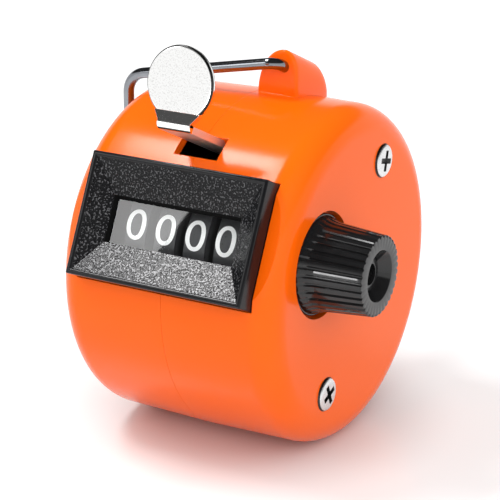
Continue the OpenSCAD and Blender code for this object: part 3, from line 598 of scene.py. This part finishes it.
bezel_grain, shader, shade = new_finish("bezel_grain")
worms = noise(shade, 3900, 1)
ridges = worms.spread(0.4, 0.51)
# Light grey flecks on the grain's crests are painted glints.
painted_glints = worms.spread(0.57, 0.65, "LINEAR")
feed(shader, Base_Color=painted_glints.blend((0.003, 0.003, 0.004, 1), (0.1, 0.1, 0.105, 1)),
     Roughness=0.24 - ridges * 0.06, Specular_IOR_Level=0.22,
     Normal=ridges.bump(1.0, 0.026 * MM))

window_edge, shader, shade = new_finish("window_edge")
soot = noise(shade, 1500)
feed(shader, Base_Color=soot.blend((0.002, 0.002, 0.002, 1), (0.004, 0.004, 0.004, 1)),
     Roughness=0.5, Specular_IOR_Level=0.05)

clear_pane = bpy.data.materials.new("clear_pane")
clear_pane.use_nodes = True
pane_nodes = clear_pane.node_tree.nodes
pane_nodes.remove(pane_nodes["Principled BSDF"])
shade = Shade(clear_pane.node_tree)
gloss = shade.add("ShaderNodeBsdfGlossy", {"Roughness": 0.02, "Color": (1, 1, 1, 1)})
through = shade.add("ShaderNodeBsdfTransparent", {"Color": (0.98, 0.985, 0.985, 1)})
skin = shade.add("ShaderNodeFresnel", {"IOR": 1.49})
inside = shade.add("ShaderNodeNewGeometry", out="Backfacing")
skin = shade.math("MINIMUM", skin * 2, 1) * (1 - inside)
pane = shade.add("ShaderNodeMixShader", {0: skin, 1: through, 2: gloss})
clear_pane.node_tree.links.new(pane.socket, pane_nodes["Material Output"].inputs["Surface"])


def next_ring(bm, edges, width, height, forward):
    """Extrudes a rectangular loop to the next size and depth and returns its new edges."""
    made = bmesh.ops.extrude_edge_only(bm, edges=edges)["geom"]
    for v in verts_of(made):
        v.co = (width / 2 if v.co.x > 0 else -width / 2, -forward,
                height / 2 if v.co.z > 0 else -height / 2)
    return edges_of(made)


bezel = bmesh.new()
facing = Matrix.Translation((0, -BEZEL_BACK, 0)) @ Matrix.Rotation(pi / 2, 4, "X")
bmesh.ops.create_grid(bezel, x_segments=1, y_segments=1, size=0.5,
                      matrix=facing @ Matrix.Diagonal((BEZEL_W, BEZEL_H, 1, 1)))
bmesh.ops.delete(bezel, geom=bezel.faces[:], context="FACES_ONLY")
back_loop = bezel.edges[:]
inner_w, inner_h = BEZEL_W - 2 * RIM_W, BEZEL_H - 2 * RIM_W
pocket_w, pocket_h = WINDOW_W + 2 * LENS_LAP + 2 * FIT, WINDOW_H + 2 * LENS_LAP + 2 * FIT
box_w, box_h = BEZEL_W - 2 * BEZEL_WALL, BEZEL_H - 2 * BEZEL_WALL
floor_n = BEZEL_FRONT - FUNNEL - FLOOR_T
loop = next_ring(bezel, back_loop, BEZEL_W, BEZEL_H, BEZEL_FRONT)
loop = next_ring(bezel, loop, inner_w, inner_h, BEZEL_FRONT)
loop = next_ring(bezel, loop, inner_w - RIM_CHAMFER, inner_h - RIM_CHAMFER,
                 BEZEL_FRONT - RIM_CHAMFER)
smooth_faces = set(bezel.faces)
loop = next_ring(bezel, loop, WINDOW_W, WINDOW_H, BEZEL_FRONT - FUNNEL)
for v in {v for e in loop for v in e.verts if v.co.x < 0}:
    v.co.x -= LEFT_LIP
grained = set(bezel.faces) - smooth_faces
loop = next_ring(bezel, loop, WINDOW_W, WINDOW_H, floor_n)
edge_faces = set(bezel.faces) - smooth_faces - grained
for v in {v for e in loop for v in e.verts if v.co.z > 0}:
    v.co.z -= TOP_LIP
loop = next_ring(bezel, loop, pocket_w, pocket_h, floor_n)
loop = next_ring(bezel, loop, pocket_w, pocket_h, floor_n - LENS_T)
loop = next_ring(bezel, loop, box_w, box_h, floor_n - LENS_T)
loop = next_ring(bezel, loop, box_w, box_h, BEZEL_BACK)
bmesh.ops.bridge_loops(bezel, edges=loop + back_loop)
for f in bezel.faces:
    f.material_index = 1 if f in grained else 2 if f in edge_faces else 0
bmesh.ops.recalc_face_normals(bezel, faces=bezel.faces)
soft_edges = []
for e in bezel.edges:
    first, second = (v.co for v in e.verts)
    in_front = all(v.co.y < TOUCH - BEZEL_FRONT for v in e.verts)
    upright_or_level = near(first.x, second.x) or near(first.z, second.z)
    at_corner = all(near(abs(v.co.x), BEZEL_W / 2) and near(abs(v.co.z), BEZEL_H / 2)
                    for v in e.verts)
    if in_front and upright_or_level or at_corner and abs(first.y - second.y) > MM:
        soft_edges.append(e)
rounded(bezel, soft_edges, RIM_ROUND, 4, "EDGES")
bezel.transform(DISPLAY)
bezel_frame = finished(bezel, "bezel_frame", [bezel_smooth, bezel_grain, window_edge], "case",
                       "bezel", sharp=30)

dress("window_lens", clear_pane)

# Case screws
# Two zinc-plated steel pan head screws with cross recesses go in from the right through both
# halves and pull the drum together.
SCREW_HEAD_R, SCREW_TOP_R = 2.3 * MM, 1.55 * MM
SCREW_HEAD_H = 0.5 * MM
BROW_R, BROW_DROP, BROW_ROUND = SCREW_HEAD_R * 0.9, 0.1 * MM, 0.2 * MM
SHANK_R, SHANK_LEN = 1.1 * MM, 6 * MM
CROSS_ARM, CROSS_HALF, CROSS_DEPTH = 1.4 * MM, 0.36 * MM, 0.44 * MM
CROSS_TAPER = 0.7
SHADE_RING_R = 0.93 * SCREW_HEAD_R
SCREW_PLACES = ((0, 15.85 * MM, radians(12)), (1.4 * MM, -15.85 * MM, radians(48)))

zinc, shader, shade = new_finish("zinc_plate")
turning = noise(shade, 1400, 3)
feed(shader, Metallic=1.0,
     Base_Color=turning.blend((0.82, 0.82, 0.82, 1), (0.66, 0.67, 0.68, 1)),
     Roughness=turning * 0.15 + 0.2, Normal=turning.bump(0.12, 0.03 * MM))
# The cross recesses and the outer ring of each head get a dark finish: painted shade in the
# recess and a painted shadow round the head.
screw_painted_shade, shader, shade = new_finish("screw_painted_shade")
screw_shade_mottle = noise(shade, 3000)
feed(shader, Metallic=1.0,
     Base_Color=screw_shade_mottle.blend((0.03, 0.03, 0.03, 1), (0.08, 0.08, 0.08, 1)), Roughness=0.4)

screws = bmesh.new()
for n, t, turn in SCREW_PLACES:
    top = RIGHT_W + SCREW_HEAD_H
    head = turned([(RIGHT_W - SHANK_LEN, 0, 0), (RIGHT_W - SHANK_LEN, SHANK_R, 0),
                   (RIGHT_W, SHANK_R, 0), (RIGHT_W, SCREW_HEAD_R, 0),
                   (top - BROW_DROP, BROW_R, BROW_ROUND), (top, SCREW_TOP_R, 0)], 64)
    rim = end_loop(head, top)
    corners = []
    for quarter in range(4):
        spin = Matrix.Rotation(quarter * pi / 2 + turn, 4, "X")
        corners += [spin @ Vector((top, *p)) for p in (
            (CROSS_HALF, CROSS_HALF), (CROSS_HALF, CROSS_ARM), (-CROSS_HALF, CROSS_ARM))]
    _, cross = drawn(head, corners, closed=True)
    bmesh.ops.triangle_fill(head, edges=rim + cross, use_beauty=True)
    plain = set(head.faces)
    sunk = pulled(head, cross, (-CROSS_DEPTH, 0, 0))
    bmesh.ops.scale(head, vec=(1, CROSS_TAPER, CROSS_TAPER), verts=verts_of(sunk))
    bmesh.ops.contextual_create(head, geom=edges_of(sunk))
    # Recess faces and the outermost ring take index 1, the painted shade.
    for f in head.faces:
        outermost = f.calc_center_median().yz.length > SHADE_RING_R
        f.material_index = int(f not in plain or outermost)
    bmesh.ops.recalc_face_normals(head, faces=head.faces)
    head.transform(DISPLAY @ Matrix.Translation((0, -n, t)))
    add_to(screws, head)
screw_pair = finished(screws, "pan_head_screws", [zinc, screw_painted_shade], "case", "case_screws",
                      sharp=30)

# Reset knob
# A black moulded knob pressed on the reset shaft: a flange in the case recess, a tapered grip
# with lengthwise ribs, and a dished end with a groove round the boss and the shaft's hole.
KNOB_END = 24 * MM
END_ROUND = 0.12 * MM
FLANGE_R = 6.6 * MM
FLANGE_X = (14.6 * MM, 15.5 * MM)
FLANGE_ROUND, FLANGE_LIP = 0.15 * MM, 0.2 * MM
FLARE, FLARE_ROUND = 1.5 * MM, 0.8 * MM
ROOT_R, TIP_R = 5.9 * MM, 5.2 * MM
GRIP_STEPS = 9
RIBS, RIB_POINTS = 34, 12
RIB_FROM = FLANGE_X[1] + 0.3 * FLARE
RIB_RISE = 1 * MM
GROOVE = 0.26 * MM
GROOVE_FLAT, GROOVE_EDGE = 0.1, 0.24
DISH_R, DISH = 3.35 * MM, 1.3 * MM
DISH_ROUND = 0.08 * MM
RIM_R = DISH_R + 0.3 * MM
BOSS_R, BOSS_ROUND = 2.1 * MM, 0.05 * MM
MOAT, MOAT_W = 0.4 * MM, 0.3 * MM
HOLE_R, HOLE_DEPTH = 1.36 * MM, 2 * MM

knob_black, shader, shade = new_finish("knob_black")
scuff = noise(shade, 900, 4)
feed(shader, Base_Color=scuff.blend((0.006, 0.006, 0.006, 1), (0.012, 0.012, 0.013, 1)),
     Roughness=scuff * 0.1 + 0.06, Normal=scuff.bump(0.06, 0.03 * MM))

grip_from = FLANGE_X[1] + FLARE
boss_x = KNOB_END - DISH
taper = (TIP_R - ROOT_R, KNOB_END - FLANGE_X[1])
grip = []
for step in range(GRIP_STEPS):
    along = grip_from + (KNOB_END - grip_from) * step / GRIP_STEPS
    grip.append((along, ROOT_R + taper[0] * (along - FLANGE_X[1]) / taper[1],
                 0 if step else FLARE_ROUND))
knob = turned([(FLANGE_X[0], HOLE_R, 0), (FLANGE_X[0], FLANGE_R, FLANGE_ROUND),
               (FLANGE_X[1], FLANGE_R, FLANGE_ROUND), (FLANGE_X[1], FLANGE_R - FLANGE_LIP, 0),
               *grip, (KNOB_END, TIP_R, END_ROUND), (KNOB_END, DISH_R, DISH_ROUND),
               (boss_x - MOAT, BOSS_R + MOAT_W, 0), (boss_x - MOAT, BOSS_R, 0),
               (boss_x, BOSS_R, BOSS_ROUND), (boss_x, HOLE_R, BOSS_ROUND),
               (boss_x - HOLE_DEPTH, HOLE_R, 0), (boss_x - HOLE_DEPTH, 0, 0)],
              RIBS * RIB_POINTS, 5)
for v in knob.verts:
    radius = v.co.yz.length
    if v.co.x > RIB_FROM and radius > RIM_R:
        phase = (Vector((0, 1)).angle_signed(v.co.yz, 0) / (2 * pi) * RIBS) % 1
        dip = (GROOVE_EDGE - abs(phase - 0.5)) / (GROOVE_EDGE - GROOVE_FLAT)
        depth = GROOVE * min(1, max(0, dip)) * min(1, (v.co.x - RIB_FROM) / RIB_RISE)
        v.co.yz = v.co.yz * (1 - depth / radius)
knob.transform(Matrix.Translation((0, shaft_axis.y, shaft_axis.z)) @ DISPLAY_TURN)
finished(knob, "ribbed_knob", [knob_black], "reset", "reset_knob")

# Finger loop
# One length of bright plated steel wire, bent from the upper lug over the left end of the drum
# and back to the lower lug, so that a finger fits behind the drum.
WIRE_R = 0.75 * MM
WIRE_BEND, LUG_BEND = 3 * MM, WIRE_R + 0.5 * MM
WIRE_Y = -1 * MM
WIRE_IN = 7.34 * MM
WIRE_END_Y = 22.5 * MM
LOOP_X = -18.9 * MM
LOOP_Y = 39.75 * MM
WIRE_TOP, WIRE_SHOULDER = 27.7 * MM, 23.3 * MM
wire_points = [Vector(p) for p in (
    (LUG_PEAK, WIRE_Y + WIRE_IN, WIRE_TOP - WIRE_IN * tan(LUG_SLOPE)),
    (LUG_PEAK, WIRE_Y, WIRE_TOP), (LOOP_X, WIRE_Y, WIRE_SHOULDER), (LOOP_X, WIRE_Y, 0),
    (LOOP_X, LOOP_Y, 0), (LUG_X, LOOP_Y, 0), (LUG_X, WIRE_END_Y, 0))]

# The wire's base colour is kept dark, below bright plating: painted shade for the dark
# surroundings it reflects.
chrome_wire, shader, shade = new_finish("chrome_wire")
draw_lines = noise(shade, 700, 2)
feed(shader, Metallic=1.0,
     Base_Color=draw_lines.blend((0.28, 0.29, 0.31, 1), (0.22, 0.23, 0.25, 1)),
     Roughness=draw_lines * 0.04 + 0.08)

wire = bmesh.new()
way = (wire_points[1] - wire_points[0]).normalized()
start = Matrix.Translation(wire_points[0]) @ way.to_track_quat("Z", "Y").to_matrix().to_4x4()
end = bmesh.ops.create_circle(wire, radius=WIRE_R, segments=32, matrix=start)["verts"]
section = list({e for v in end for e in v.link_edges})
bmesh.ops.contextual_create(wire, geom=section)
here = wire_points[0]
for corner_at, after in zip(wire_points[1:-1], wire_points[2:]):
    inward = (corner_at - here).normalized()
    onward = (after - corner_at).normalized()
    turn = inward.angle(onward)
    bend_r = LUG_BEND if corner_at is wire_points[1] else WIRE_BEND
    cut = bend_r * tan(turn / 2)
    made = pulled(wire, section, corner_at - inward * cut - here)
    axis = inward.cross(onward).normalized()
    centre = corner_at - inward * cut + axis.cross(inward) * bend_r
    spun = bmesh.ops.spin(wire, geom=verts_of(made) + edges_of(made), cent=centre, axis=axis,
                          angle=turn, steps=12)["geom_last"]
    section = edges_of(spun)
    here = corner_at + onward * cut
made = pulled(wire, section, wire_points[-1] - here)
bmesh.ops.contextual_create(wire, geom=edges_of(made))
bmesh.ops.remove_doubles(wire, verts=wire.verts, dist=MERGE)
bmesh.ops.recalc_face_normals(wire, faces=wire.faces)
bmesh.ops.translate(wire, vec=(0, 0, AXIS_H), verts=wire.verts)
finished(wire, "wire_loop", [chrome_wire], "case", "finger_loop")

# Floor, light and camera
# A pale table that runs out of view under even light, with a window light on the front left, a
# softbox above and a small card in front for the knob, seen from the photograph's place.
FLOOR_HALF = 3
FLOOR_GLOW = 0.32
PAINTED_SHADOW_REACH = (0.012, 0.03)
DOME = 0.64
FRONT_FILL, FILL_FOCUS = 2.3, 4
FILL_FROM = (0.7, -0.61, 0.37)
ROOM_DARK = 0.05
ROOM_EDGE = (0.24, 0.38)

floor_white, shader, shade = new_finish("floor_white")
sweep = noise(shade, 6)
watched = shade.add("ShaderNodeLightPath", out="Is Camera Ray")
for way_seen in ("Is Glossy Ray", "Is Transmission Ray"):
    watched = shade.math("MAXIMUM", watched, shade.add("ShaderNodeLightPath", out=way_seen))
spot = shade.add("ShaderNodeTexCoord", out="Object")
away = shade.add("ShaderNodeVectorMath", {0: spot}, out="Value", operation="LENGTH")
# Near the object the glow fades out, from full at 30 mm to none at 12 mm from the origin, which
# paints a darker ring of shadow round the foot.
glow = watched * away.spread(*PAINTED_SHADOW_REACH) * FLOOR_GLOW
feed(shader, Base_Color=sweep.blend((0.7, 0.7, 0.7, 1), (0.68, 0.68, 0.68, 1)), Roughness=0.25,
     Emission_Color=glow.blend((0, 0, 0, 1), (1, 1, 1, 1)), Emission_Strength=1.0)
floor = bmesh.new()
bmesh.ops.create_grid(floor, x_segments=1, y_segments=1, size=FLOOR_HALF)
floor_mesh = bpy.data.meshes.new("floor")
floor.to_mesh(floor_mesh)
floor.free()
floor_mesh.materials.append(floor_white)
floor_piece = bpy.data.objects.new("floor", floor_mesh)
bpy.context.scene.collection.objects.link(floor_piece)

world = bpy.data.worlds.new("white_room")
bpy.context.scene.world = world
world.use_nodes = True
room = Shade(world.node_tree)
camera_ray = room.add("ShaderNodeLightPath", out="Is Camera Ray")
glossy_ray = room.add("ShaderNodeLightPath", out="Is Glossy Ray")
aim = room.add("ShaderNodeTexCoord", out="Generated")
height = room.add("ShaderNodeSeparateXYZ", {"Vector": aim}, out="Z")
wall = height.spread(*ROOM_EDGE, first=1.0, last=ROOM_DARK)
side = room.add("ShaderNodeVectorMath", {0: aim, 1: FILL_FROM}, out="Value",
                operation="DOT_PRODUCT")
even = room.math("POWER", room.math("MAXIMUM", side, 0), FILL_FOCUS) * FRONT_FILL + DOME
level = camera_ray + (1 - camera_ray) * (glossy_ray * wall + (1 - glossy_ray) * even)
sky = world.node_tree.nodes["Background"]
sky.inputs["Color"].default_value = (1, 1, 1, 1)
world.node_tree.links.new(level.socket, sky.inputs["Strength"])


def area_light(name, at, along, across, size, radiance):
    """A flat light with its sides along two directions, given by its radiance."""
    lamp = bpy.data.lights.new(name, "AREA")
    lamp.shape = "RECTANGLE"
    lamp.size, lamp.size_y = size
    lamp.energy = radiance * pi * size[0] * size[1]
    light = bpy.data.objects.new(name, lamp)
    along = Vector(along).normalized()
    back = along.cross(Vector(across)).normalized()
    turn = Matrix((along, back.cross(along), back)).transposed()
    light.matrix_world = Matrix.Translation(at) @ turn.to_4x4()
    light.visible_camera = False
    bpy.context.scene.collection.objects.link(light)


BOX_CORNER = Vector((-0.2022, -0.3152, 0.2087))
BOX_UP, BOX_LEFT = Vector((0.422, 0.307, 0.853)), Vector((-0.445, 0.89, -0.101))
BOX_SIZE = (0.11, 0.09)
area_light("window_light", at=BOX_CORNER + BOX_LEFT * BOX_SIZE[1] / 2, along=BOX_UP,
           across=BOX_LEFT, size=BOX_SIZE, radiance=3.2)
area_light("upper_softbox", at=(-0.214, -0.075, 0.43), along=(0, 1, 0.08),
           across=(-0.876, 0.04, -0.476), size=(0.16, 0.1), radiance=27)
area_light("front_card", at=(-0.092, -0.394, 0.04), along=(0.96, -0.28, 0), across=(0, 0, 1),
           size=(0.06, 0.03), radiance=14)

CAMERA_AT = (0.12419, -0.21336, 0.11042)
CAMERA_TURN, CAMERA_DIP = radians(30.278), radians(19.364)
CAMERA_SENSOR, CAMERA_LENS = 36, 139.15
camera_data = bpy.data.cameras.new("camera")
camera_data.sensor_width = CAMERA_SENSOR
camera_data.lens = CAMERA_LENS
camera = bpy.data.objects.new("camera", camera_data)
camera.location = CAMERA_AT
camera.rotation_euler = (pi / 2 - CAMERA_DIP, 0, CAMERA_TURN)
bpy.context.scene.collection.objects.link(camera)
bpy.context.scene.camera = camera
bpy.context.scene.view_settings.view_transform = "Standard"
